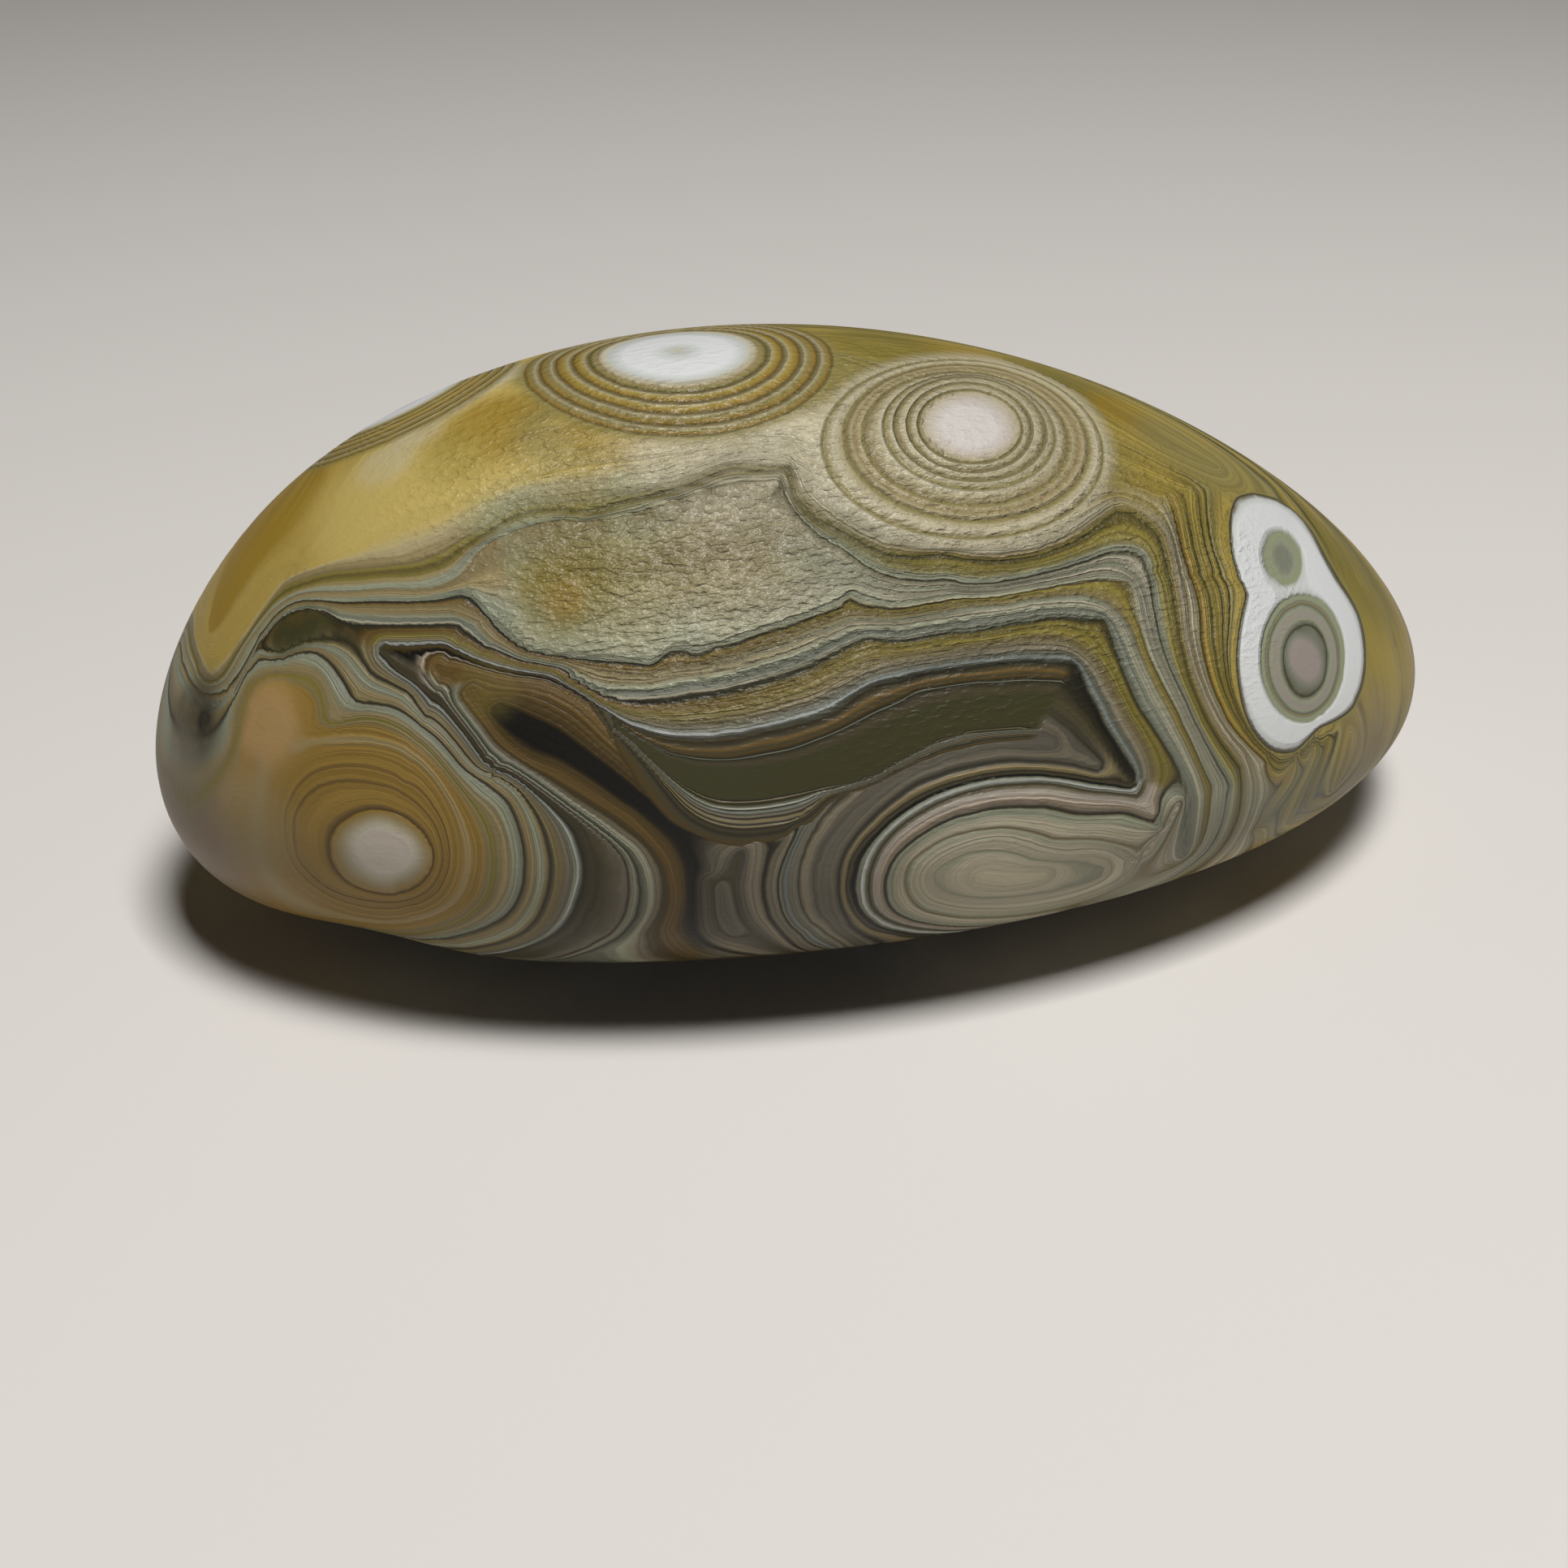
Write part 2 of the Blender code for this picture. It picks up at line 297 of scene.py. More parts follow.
# %% Lines inside the dark green pocket, from its top edge to its bottom edge
POCKET = [
    (0.0, "765,892 785,903 810,912 840,916 872,917 905,914 940,906 975,899 1000,892 1020,885"),
    (0.0, "1020,885 1040,874 1060,858 1080,848 1110,841 1150,831 1200,824 1240,819 1260,817 1290,818"),
    (0.0, "1290,818 1322,819 1322,819 1328,826 1335,844 1348,870"),
    (2.0, "822,928 860,935 900,936 940,930 975,923 1000,914 1030,902 1060,888 1080,877 1110,864 1130,852"),
    (2.0, "1130,852 1160,847 1190,842 1230,840 1270,838 1311,840"),
    (4.5, "880,955 940,957 1000,945 1050,925 1100,905 1150,888 1200,876 1260,870 1300,870"),
    (7.0, "790,925 812,945 828,958 848,972 868,982 890,988 920,988 950,985 980,979 1010,973 1040,968 1062,962"),
    (7.0, "1062,962 1080,955 1100,943 1125,929 1150,916 1175,908 1200,902 1240,899 1283,898"),
    (10.0, "770,912 800,942 820,966 842,990 862,1005 885,1014 915,1018 945,1016 975,1012 995,1003 1010,990"),
    (11.5, "760,905 795,945 815,972 838,1000 860,1017 885,1027 915,1031 945,1029 970,1024"),
    (15.0, "1035,985 1075,972 1110,955 1150,938 1200,925 1250,918 1300,916 1345,922"),
    (13.5, "780,965 820,1010 850,1027 880,1039 914,1046"),
]
print(len(POCKET), "growth lines in the pocket")

# %% Rings of the ringed eye and of the twin eye, as ovals: growth time, middle, half width, half height, tilt
RINGED_EYE = [
    (0.0, 1196, 526, 25, 18, -6),
    (2.0, 1196, 525, 59, 41, -6),
    (4.0, 1195, 526, 77, 55, -6),
    (6.0, 1196, 528, 94, 64, -6),
    (9.0, 1191, 540, 127, 82, -5),
    (11.0, 1192, 545, 151, 96, -5),
    (13.0, 1187, 553, 173, 110, -4),
    (16.0, 1180, 560, 215, 138, -3),
]
TWIN_EYE = [
    (0.0, 1608, 813, 8, 14, 0),
    (2.0, 1609, 814, 27, 45, 0),
    (3.0, 1607, 814, 36, 58, 0),
    (4.0, 1606, 812, 45, 70, 0),
    (4.8, 1605, 811, 54, 82, 0),
    (4.1, 1582, 687, 8, 14, 15),
    (4.3, 1581, 688, 17, 26, 15),
    (4.8, 1580, 688, 27, 39, 15),
]
TWIN_OUTLINE = [
    (8.0, "1545,609 1527,613 1519,628 1517,660 1521,690 1529,712 1538,733 1538,733 1533,756 1528,785 1526,815"),
    (8.0, "1526,815 1529,848 1536,880 1548,904 1564,921 1580,927 1597,924 1612,909 1626,894 1645,886 1663,874"),
    (8.0, "1663,874 1675,850 1681,822 1681,790 1674,760 1661,735 1646,713 1632,688 1618,660 1600,635 1574,617"),
    (8.0, "1574,617 1545,609"),
    (11.0, "1540,590 1515,600 1503,630 1503,665 1508,695 1518,725 1510,760 1506,800 1508,850 1518,892 1535,920"),
    (11.0, "1535,920 1562,945 1590,948 1618,930 1650,905 1685,890 1700,850 1702,790 1690,740 1670,700 1640,650"),
    (11.0, "1640,650 1610,615 1575,595 1540,590"),
]

# %% [markdown]
# ## From lines to a field
# Every point of a line is sent out from the camera until it meets the skin. There it sets a value, like a pin
# in a rubber sheet. The sheet between the pins takes the smoothest heights it can, which a conjugate gradient
# solver finds in a second or so. The result is stored on the skin as an attribute that materials can read.

# %% A smooth curve through given points
SAMPLE_PIXELS = 4.0


def points_of(text):
    """The points in a text of x,y pairs."""
    return [np.array([float(c) for c in pair.split(",")]) for pair in text.split()]


def joined(lines):
    """(growth time, points) for each whole line: a piece that starts where the last one ended continues it."""
    whole = []
    for time, text in lines:
        points = points_of(text)
        if whole and whole[-1][0] == time and np.allclose(whole[-1][1][-1], points[0]):
            whole[-1][1].extend(points[1:])
        else:
            whole.append((time, points))
    return whole


def curve(points):
    """Samples of a smooth curve through the points. A point that comes twice is a sharp corner."""
    padded = [points[0], *points, points[-1]]
    samples = []
    for a, b, c, d in zip(padded, padded[1:], padded[2:], padded[3:]):
        steps = max(1, int(np.linalg.norm(c - b) / SAMPLE_PIXELS))
        for t in np.arange(steps) / steps:
            bend = (2 * a - 5 * b + 4 * c - d) * t**2 + (3 * b - a - 3 * c + d) * t**3
            samples.append(b + 0.5 * ((c - a) * t + bend))
    samples.append(points[-1])
    return samples


def oval(x, y, half_width, half_height, tilt):
    """Samples of an oval in the picture."""
    turn = np.linspace(0, 2 * math.pi, max(8, int(6.3 * half_width / SAMPLE_PIXELS)), endpoint=False)
    lean = math.radians(tilt)
    u, v = half_width * np.cos(turn), half_height * np.sin(turn)
    return np.stack([x + u * math.cos(lean) + v * math.sin(lean), y - u * math.sin(lean) + v * math.cos(lean)], 1)


# %% [markdown]
# The photograph shows the front alone. A pebble like this has the same sort of eyes and bands all round, so
# the drawing is used twice more: upside down on the back, and turned round on the underside. Those copies keep
# off what the camera sees, and the sheet joins all three smoothly.

# %% Send picture points to the skin
triangles = np.concatenate([quads[:, [0, 1, 2]], quads[:, [0, 2, 3]]])
tree = BVHTree.FromPolygons(skin.tolist(), triangles.tolist())


def look(azimuth, elevation, stretch, shift):
    """A place to look from: its eye, its axes, and how the drawing is stretched and shifted in its picture."""
    a, e = math.radians(azimuth), math.radians(elevation)
    behind = np.array([math.sin(a) * math.cos(e), -math.cos(a) * math.cos(e), math.sin(e)])
    sideways = np.array([math.cos(a), math.sin(a), 0.0])
    return TARGET + behind * DISTANCE, sideways, np.cross(behind, sideways), behind, stretch, shift


FRONT = look(-17.33, 30.0, (1.0, 1.0), (0, 0))
REAR = look(168.0, 14.0, (0.94, -0.80), (0, 60))
UNDER = look(-10.0, -62.0, (-0.9, 0.72), (0, 120))
LOOKS = (FRONT, REAR, UNDER)
STONE_MIDDLE = np.array([966.0, 790.0])


def facing(place, normal, view):
    """How squarely a point of the skin faces a place to look from: 1 head on, 0 edge on, below 0 hidden."""
    away = view[0] - np.array(place)
    return float(np.dot(np.array(normal), away / np.linalg.norm(away)))


def on_skin(pixel, view=FRONT):
    """(point, triangle number) where the line of sight through a pixel meets the skin, or (None, None)."""
    origin, sideways, upwards, behind, stretch, shift = view
    x, y = STONE_MIDDLE + (np.asarray(pixel) - STONE_MIDDLE) * stretch + shift
    aim = sideways * (x - PICTURE / 2) / focal - upwards * (y - PICTURE / 2) / focal - behind
    place, normal, index, _ = tree.ray_cast(Vector(origin), Vector(aim).normalized())
    if place is None or view is FRONT:
        return place, index
    seen = facing(place, normal, FRONT) > -0.5 or (view is UNDER and facing(place, normal, REAR) > -0.1)
    return (None, None) if seen else (place, index)


def corner_shares(place, index):
    """The share of each corner of a triangle at a place on it."""
    a, b, c = skin[triangles[index]]
    ab, ac, ap = b - a, c - a, np.array(place) - a
    d00, d01, d11, d20, d21 = ab @ ab, ab @ ac, ac @ ac, ap @ ab, ap @ ac
    t = (d00 * d21 - d01 * d20) / (d00 * d11 - d01 * d01)
    s = (d20 - d01 * t) / d00
    return 1 - s - t, s, t


def pins(samples):
    """For samples that hit the skin: the corners of the triangles hit, each corner's share, and the sample."""
    corners_hit, shares, kept = [], [], []
    for view in LOOKS:
        for number, pixel in enumerate(samples):
            place, index = on_skin(pixel, view)
            if place is not None:
                corners_hit.append(triangles[index])
                shares.append(corner_shares(place, index))
                kept.append(number)
    return np.array(corners_hit, int).reshape(-1, 3), np.array(shares).reshape(-1, 3), np.array(kept, int)


CARRY_STEP = 0.2
CARRY_STEPS = 18
CARRY_FROM_Y = 1050


def carried_on(samples):
    """Places that carry a line on for a few mm over the skin where it ends at the stone's lower outline."""
    found = []
    for ordered in (samples, samples[::-1]):
        hits = [place for place, _ in map(on_skin, ordered[-7:]) if place is not None]
        if len(hits) < 3 or ordered[-1][1] < CARRY_FROM_Y:
            continue
        place = np.array(hits[-1])
        heading = place - np.array(hits[0])
        _, normal, _, _ = tree.find_nearest(Vector(place))
        if facing(place, normal, FRONT) > 0.5:
            continue
        for _ in range(CARRY_STEPS):
            heading = heading - np.array(normal) * (heading @ np.array(normal))
            heading = heading / np.linalg.norm(heading)
            place, normal, index, _ = tree.find_nearest(Vector(place + heading * CARRY_STEP))
            place = np.array(place)
            found.append((place, index))
    return found


# %% Neighbours on the skin and how firmly each pair holds together
def neighbours():
    """For each point its neighbours along the squares' sides, and the weight of each, padded with itself."""
    sides = np.concatenate([quads[:, [k, (k + 1) % 4]] for k in range(4)])
    sides = np.unique(np.sort(sides, axis=1), axis=0)
    length = np.linalg.norm(skin[sides[:, 0]] - skin[sides[:, 1]], axis=1)
    both = np.concatenate([sides, sides[:, ::-1]])
    lengths = np.concatenate([length, length])
    order = np.argsort(both[:, 0], kind="stable")
    both, lengths = both[order], lengths[order]
    first = np.searchsorted(both[:, 0], np.arange(len(skin)))
    slot = np.arange(len(both)) - first[both[:, 0]]
    near = np.tile(np.arange(len(skin))[:, None], (1, 4))
    reach = np.full((len(skin), 4), np.inf)
    near[both[:, 0], slot] = both[:, 1]
    reach[both[:, 0], slot] = lengths
    weight = 1.0 / reach**2
    typical = np.median(lengths) ** 2
    return near, weight * typical


near, hold = neighbours()
hold_sum = hold.sum(1)
PIN_STRENGTH = 6.0


def spread(corner_ids, shares, values, rounds=500):
    """The smoothest field over the skin that takes the values at the pins."""
    flat = corner_ids.ravel()
    count = len(skin)

    def pull(field):
        held = hold_sum * field - (hold * field[near]).sum(1)
        at_pins = (shares * field[corner_ids]).sum(1) * PIN_STRENGTH
        return held + np.bincount(flat, (shares * at_pins[:, None]).ravel(), count)

    target = np.bincount(flat, (shares * (values * PIN_STRENGTH)[:, None]).ravel(), count)
    diagonal = hold_sum + np.bincount(flat, (shares**2).ravel(), count) * PIN_STRENGTH
    field = np.full(count, values.mean())
    rest = target - pull(field)
    step = rest / diagonal
    energy = rest @ step
    for _ in range(rounds):
        pulled = pull(step)
        size = energy / (step @ pulled)
        field += size * step
        rest -= size * pulled
        scaled = rest / diagonal
        energy, old = rest @ scaled, energy
        step = scaled + step * (energy / old)
    print("   pins:", len(values), "left over:", round(float(np.abs(rest).max()), 6))
    return field

# %% Growth time over the whole skin
def gathered(lines, ovals=(), carry=False):
    """Pins and values of a set of lines."""
    samples = [(pixel, time) for time, points in joined(lines) for pixel in curve(points)]
    samples += [(pixel, time) for time, *shape in ovals for pixel in oval(*shape)]
    pixels, times = zip(*samples)
    ids, shares, kept = pins(pixels)
    values = np.array(times)[kept]
    if carry:
        more = [(hit, time) for time, points in joined(lines) for hit in carried_on(curve(points))]
        ids = np.concatenate([ids, [triangles[index] for (_, index), _ in more]])
        shares = np.concatenate([shares, [corner_shares(*hit) for hit, _ in more]])
        values = np.concatenate([values, [time for _, time in more]])
    return ids, shares, values


above, below = gathered(ABOVE), gathered(BELOW, LEFT_EYE, carry=True)
both = [np.concatenate(pair) for pair in zip(above, below)]
growth = spread(*both)
side = np.concatenate([np.zeros(len(above[2])), np.ones(len(below[2]))])
underside = spread(both[0], both[1], side)


def outside_pocket():
    """Pins that keep the pocket's lines inside it: low above its top edge, high everywhere else."""
    found = []
    pocket_pixels = np.concatenate([curve(points) for _, points in joined(POCKET)])
    for lines, is_below in ((ABOVE, False), (BELOW, True)):
        for time, points in joined(lines):
            for pixel in curve(points):
                if np.linalg.norm(pocket_pixels - pixel, axis=1).min() < 11:
                    continue
                if is_below or (time < -0.5 and pixel[0] < 750) or (time > 0.5 and pixel[0] < 730):
                    found.append((pixel, 15.0))
                elif time > 0.5 and pixel[0] > 760:
                    found.append((pixel, -1.0))
    return [*zip(*found)]


inside = gathered(POCKET)
pixels, values = outside_pocket()
ids, shares, kept = pins(pixels)
outside = (ids, shares, np.array(values)[kept])
pocket = spread(*[np.concatenate(pair) for pair in zip(inside, outside)])
ringed = spread(*gathered([], RINGED_EYE))
twin = spread(*gathered(TWIN_OUTLINE, TWIN_EYE))


def within(field, x, y, reach):
    """The field near the eye at a pixel and near its copies; a high value, past all rings, elsewhere."""
    centres = [on_skin((x, y), view)[0] for view in LOOKS]
    near_eye = [np.linalg.norm(skin - np.array(c), axis=1) < reach for c in centres if c is not None]
    print("   eyes:", len(near_eye))
    return np.where(np.any(near_eye, axis=0), field, 20.0)


def picture_place():
    """Where each point of the skin lies in the picture, as two arrays of pixels."""
    away = skin - eye
    depth = -(away @ back)
    return PICTURE / 2 + focal * (away @ right) / depth, PICTURE / 2 - focal * (away @ up) / depth


picture_x, picture_y = picture_place()
pocket_end = np.clip((picture_x - 1277 - 0.5 * (898 - picture_y)) / 8, 0, 1) * (skin[:, 1] < 0)
pocket_end = 1 - pocket_end * (picture_x < 1600)

ringed = within(ringed, 1196, 526, 9.0)
twin = within(twin, 1600, 770, 8.5)

# %% Soft steps and places on the skin
def smooth(low, high, value):
    """0 below low, 1 above high, and a soft rise between them."""
    t = np.clip((value - low) / (high - low), 0, 1)
    return t * t * (3 - 2 * t)


def spot(x, y):
    """The point of the skin seen at a pixel."""
    return np.array(on_skin((x, y))[0])


def nearness(x, y, reach):
    """1 at the point of the skin seen at a pixel, falling softly to 0 with distance. The reach is in mm."""
    return np.exp(-((skin - spot(x, y)) ** 2).sum(1) / reach**2)


TOP_EYE = spot(835, 432)
LOW_EYES = ((20.0, 13.0, 3.5), (-17.8, 5.1, 22.3))
top_eye = np.linalg.norm(skin - TOP_EYE, axis=1)
for low_eye in LOW_EYES:
    top_eye = np.minimum(top_eye, np.linalg.norm(skin - low_eye, axis=1) * 1.3)
rightward = smooth(-16.0, 4.0, skin[:, 0])
right_below = smooth(845.0, 905.0, picture_x)

# %% [markdown]
# ## The relief
# Wind wears soft layers faster than hard ones, so the dark lines stand a few hundredths of a millimetre lower
# than the pale ones. That is real geometry here, cut into the skin along its normals. It is strongest on the
# crown and to the right, where the stone has a wrinkled satin surface, and fades on the smooth left eye.

# %% Where the surface is satin
satin = np.zeros(len(skin))
for x, y, reach, strength in (
    (900, 620, 9.5, 1.0), (1180, 600, 10.5, 1.0), (1130, 780, 8.0, 0.6), (900, 950, 7.0, 0.25),
    (700, 560, 7.0, 0.6), (1250, 900, 7.0, 0.25), (840, 480, 8.0, 0.6), (1400, 650, 7.0, 0.7),
):
    satin = np.maximum(satin, strength * nearness(x, y, reach))
satin *= 1 - 0.6 * smooth(0.0, 1.0, 0.8 - growth)
satin *= 1 - 0.6 * np.maximum(smooth(0.0, 0.5, 2.5 - ringed), smooth(0.0, 0.4, 3.5 - top_eye))
print("satin covers", round(float((satin > 0.5).mean()) * 100), "% of the skin")
calm = np.zeros(len(skin))
for x, y, reach, strength in (
    (290, 720, 8.0, 0.8), (430, 620, 7.0, 0.8), (590, 560, 6.0, 0.7), (240, 1000, 8.5, 1.0), (330, 900, 4.5, 0.9),
    (470, 1050, 9.0, 0.55), (1050, 450, 4.5, 0.9), (1200, 430, 5.0, 0.6), (1220, 1090, 7.0, 0.6),
    (1690, 800, 6.0, 0.6),
):
    calm = np.maximum(calm, strength * nearness(x, y, reach))
print("the fine layers are faint on", round(float((calm > 0.5).mean()) * 100), "% of it")


# %% Cut the grooves
def groove(field, times, width):
    """1 in the middle of the lines at the given growth times, 0 away from them."""
    return sum(np.exp(-(((field - time) / width) ** 2)) for time in times)


def outward():
    """The outward direction at each point of the skin."""
    a, b, c, d = (skin[quads[:, k]] for k in range(4))
    faces = np.cross(c - a, d - b)
    normals = np.zeros_like(skin)
    for k in range(4):
        np.add.at(normals, quads[:, k], faces)
    return normals / np.linalg.norm(normals, axis=1)[:, None]


in_top = smooth(0.0, 0.6, 7.6 - top_eye)
in_ringed = smooth(0.0, 0.6, 13.6 - ringed)
depth = 0.045 * groove(ringed, (2.6, 4, 6, 7.2, 9, 11, 13), 0.30) * in_ringed
depth += 0.045 * groove(top_eye, (3.9, 4.6, 5.35, 6.1, 6.75), 0.11) * in_top
bands = groove(growth, (-6, -4, 0, 5, 9, 12, 15, 21, 23.4, 26, 27.6), 0.26)
depth += 0.05 * bands * (0.4 + 0.6 * satin) * (1 - in_ringed) * (1 - in_top) * (growth < 29)
depth += 0.020 * groove(twin, (2.0, 4.0, 8.3), 0.35)
skin -= outward() * depth[:, None]
print("grooves up to", round(float(depth.max()), 3), "mm deep")

# %% [markdown]
# ## Stains and painted sheen
# Iron does not follow the bands everywhere. In some places it has soaked through them as soft clouds. Two pale
# cream clouds on the crown are no stain but a painted highlight, the satin sheen of the crown. Each cloud is a
# place on the skin, a reach in mm, a colour and a strength. Later clouds lie over earlier ones.

# %% The clouds: stains, and a painted highlight on the crown
STAINS_AND_SHEEN = [
    (300, 720, 6.0, "amber", 0.5), (450, 620, 3.5, "honey", 0.7), (540, 600, 3.0, "honey", 0.7),
    (610, 522, 2.6, "amber", 0.9), (560, 560, 1.8, "straw", 0.6), (662, 455, 1.8, "moss", 0.9),
    (700, 530, 2.6, "moss", 0.7), (760, 520, 2.5, "amber", 0.6), (622, 460, 1.4, "cream", 0.7),
    (585, 478, 1.4, "cream", 0.7), (548, 500, 1.4, "cream", 0.7), (515, 530, 1.3, "cream", 0.6),
    (475, 570, 1.4, "cream", 0.5), (690, 790, 4.0, "sand", 0.55), (630, 700, 3.0, "fog", 0.5), (640, 660, 2.6, "sage", 0.5), (790, 690, 2.6, "sand", 0.5),
    (760, 690, 4.0, "moss", 0.7), (885, 655, 3.4, "khaki", 0.85), (915, 672, 1.9, "umber", 0.5),
    (940, 740, 3.2, "sand", 0.5), (1030, 690, 2.5, "fog", 0.5), (790, 620, 2.0, "sage", 0.5), (695, 732, 2.3, "olive", 0.9),
    # The two cream clouds at 880,560 and 1000,560 are a painted highlight: the crown's satin sheen, painted into the
    # colour.
    (695, 735, 1.1, "ochre", 0.7), (880, 560, 4.0, "cream", 0.8), (1000, 560, 3.0, "cream", 0.8),
    (225, 1010, 4.8, "mauve", 0.9), (325, 890, 2.0, "peach", 0.9), (288, 965, 1.4, "peach", 0.5),
    (310, 1020, 2.6, "tan", 0.6), (1710, 800, 4.0, "straw", 0.8), (1680, 712, 3.5, "olive", 0.8),
    (1680, 940, 2.5, "taupe", 0.7), (1690, 900, 2.5, "tan", 0.6), (1530, 1015, 2.5, "ash", 0.6), (1500, 1005, 1.8, "fog", 0.6),
    (1600, 985, 2.5, "ash", 0.5), (1100, 425, 3.5, "olive", 0.8), (1200, 440, 2.5, "amber", 0.5), (1035, 465, 2.6, "moss", 0.8),
    (1330, 480, 3.0, "olive", 0.8), (1385, 508, 2.0, "amber", 0.8), (1460, 555, 3.0, "moss", 0.8),
    (1395, 575, 3.0, "straw", 0.8), (1340, 560, 2.2, "moss", 0.7), (1540, 598, 3.0, "moss", 0.7),
    (1280, 455, 2.0, "olive", 0.7),
]
SMUDGES = [
    (240, 890, 2.2, "peat", 0.9), (222, 940, 1.8, "taupe", 0.6), (252, 888, 0.6, "black", 0.9),
    (350, 784, 0.9, "bottle", 0.9), (372, 772, 0.9, "bottle", 0.9), (395, 772, 0.7, "bottle", 0.8), (600, 850, 1.3, "olive", 0.3),
    (695, 733, 1.6, "olive", 0.65), (697, 737, 0.8, "ochre", 0.5),
]


# %% [markdown]
# ## The skin as an object
# The skin gets the fields as attributes, one value for each point, which the material reads by name. It also
# gets a picture map: the six sides of the cube it grew from, laid out as six tiles.

# %% Build the skin
mesh = bpy.data.meshes.new("stone_skin")
mesh.from_pydata((skin * MM).tolist(), [], quads.tolist())
mesh.polygons.foreach_set("use_smooth", np.ones(len(quads), bool))
stone = bpy.data.objects.new("stone_skin", mesh)
bpy.context.scene.collection.objects.link(stone)
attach(stone, "root")
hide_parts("stone")


def store(name, values):
    """Keep one number for each point of the skin under a name."""
    mesh.attributes.new(name, "FLOAT", "POINT").data.foreach_set("value", values.astype(np.float32))


for name, values in (
    ("growth", growth),
    ("underside", smooth(0.35, 0.65, underside)),
    ("rightward", rightward),
    ("right below", right_below),
    ("pocket", pocket),
    ("pocket end", pocket_end),
    ("ringed eye", ringed),
    ("twin eye", twin),
    ("top eye", top_eye),
):
    store(name, values)
    print(name, "from", round(float(values.min()), 2), "to", round(float(values.max()), 2))

# %% Six tiles for the picture map
def tile_map():
    """UV for every face corner: the six sides of the cube on three columns and two rows."""
    uv = np.zeros((len(quads), 4, 2))
    start = 0
    margin = 0.006
    for axis in range(3):
        u, v = (axis + 1) % 3, (axis + 2) % 3
        count = GRID[u] * GRID[v]
        for row in (0, 1):
            part = corners[quads[start : start + count]]
            across = part[:, :, u] / GRID[u]
            along = part[:, :, v] / GRID[v]
            uv[start : start + count, :, 0] = (axis + margin + across * (1 - 2 * margin)) / 3
            uv[start : start + count, :, 1] = (row + margin + along * (1 - 2 * margin)) / 2
            start += count
    return uv.reshape(-1, 2)


tiles = mesh.uv_layers.new(name="OFBake")
tiles.data.foreach_set("uv", tile_map().ravel().astype(np.float32))

# %% [markdown]
# ## The colours
# A short list of mineral colours is enough: iron stains chalcedony from pale yellow through ochre to brown,
# and pure layers stay grey, blue-grey or milk white. Each ramp says which colour was laid down at which
# growth time.

# %% Mineral colours, as they look on a screen
COLOURS = {
    "black": (18, 16, 11),
    "smoke": (40, 37, 25),
    "bottle": (55, 54, 31),
    "umber": (72, 57, 26),
    "peat": (64, 58, 39),
    "dusk": (86, 81, 69),
    "fern": (57, 55, 31),
    "brown": (98, 77, 38),
    "bronze": (90, 80, 44),
    "taupe": (112, 104, 86),
    "ash": (112, 114, 100),
    "slate": (98, 98, 82),
    "khaki": (118, 106, 72),
    "olive": (114, 103, 48),
    "moss": (128, 118, 72),
    "ochre": (131, 105, 48),
    "amber": (142, 115, 40),
    "straw": (146, 128, 62),
    "honey": (172, 152, 87),
    "peach": (160, 130, 84),
    "mauve": (118, 102, 84),
    "tan": (136, 121, 84),
    "sand": (156, 145, 112),
    "beige": (160, 152, 130),
    "rose": (164, 148, 126),
    "cream": (174, 166, 140),
    "fog": (134, 136, 114),
    "sage": (132, 138, 106),
    "blue grey": (124, 131, 126),
    "heather": (140, 130, 122),
    "bone": (176, 167, 153),
    "shell": (190, 184, 178),
    "pearl": (178, 180, 174),
    "milk": (199, 200, 198),
}


def paint(name, alpha=1.0):
    """A named colour as the linear light values that shaders use."""
    share = np.array(COLOURS[name]) / 255
    linear = np.where(share <= 0.04045, share / 12.92, ((share + 0.055) / 1.055) ** 2.4)
    return (*linear.tolist(), alpha)


# %% Lay the clouds over each other
cloud_colour = np.zeros((len(skin), 4))
cloud_share = np.zeros(len(skin))


def lay(clouds):
    """Lay soft clouds over the ones that are there."""
    for x, y, reach, name, strength in clouds:
        share = strength * smooth(0.12, 0.75, nearness(x, y, reach))
        kept = cloud_share * (1 - share)
        total = np.maximum(share + kept, 1e-6)
        mixed = cloud_colour * kept[:, None] + np.array(paint(name)) * share[:, None]
        cloud_colour[:] = mixed / total[:, None]
        cloud_share[:] = share + kept


lay(STAINS_AND_SHEEN)
leftward = 1 - smooth(560, 640, picture_x)
free_from = 9.2 + 7.4 * leftward
above_side = smooth(0.0, 1.0, (growth - free_from) / 2.3) * (1 - smooth(0.4, 0.6, underside))
below_side = smooth(12.0, 15.0, growth) * smooth(0.4, 0.6, underside)
dark_lines = np.exp(-(((growth - 15) / 0.9) ** 2)) + np.exp(-(((growth - 12) / 0.4) ** 2))
cloud_share *= above_side * (1 - 0.9 * dark_lines) + below_side
lay(SMUDGES)
mesh.attributes.new("cloud colour", "FLOAT_COLOR", "POINT").data.foreach_set("color", cloud_colour.ravel())
store("clouds", cloud_share)
store("satin", satin)
store("calm", calm)
print(len(STAINS_AND_SHEEN), "clouds")

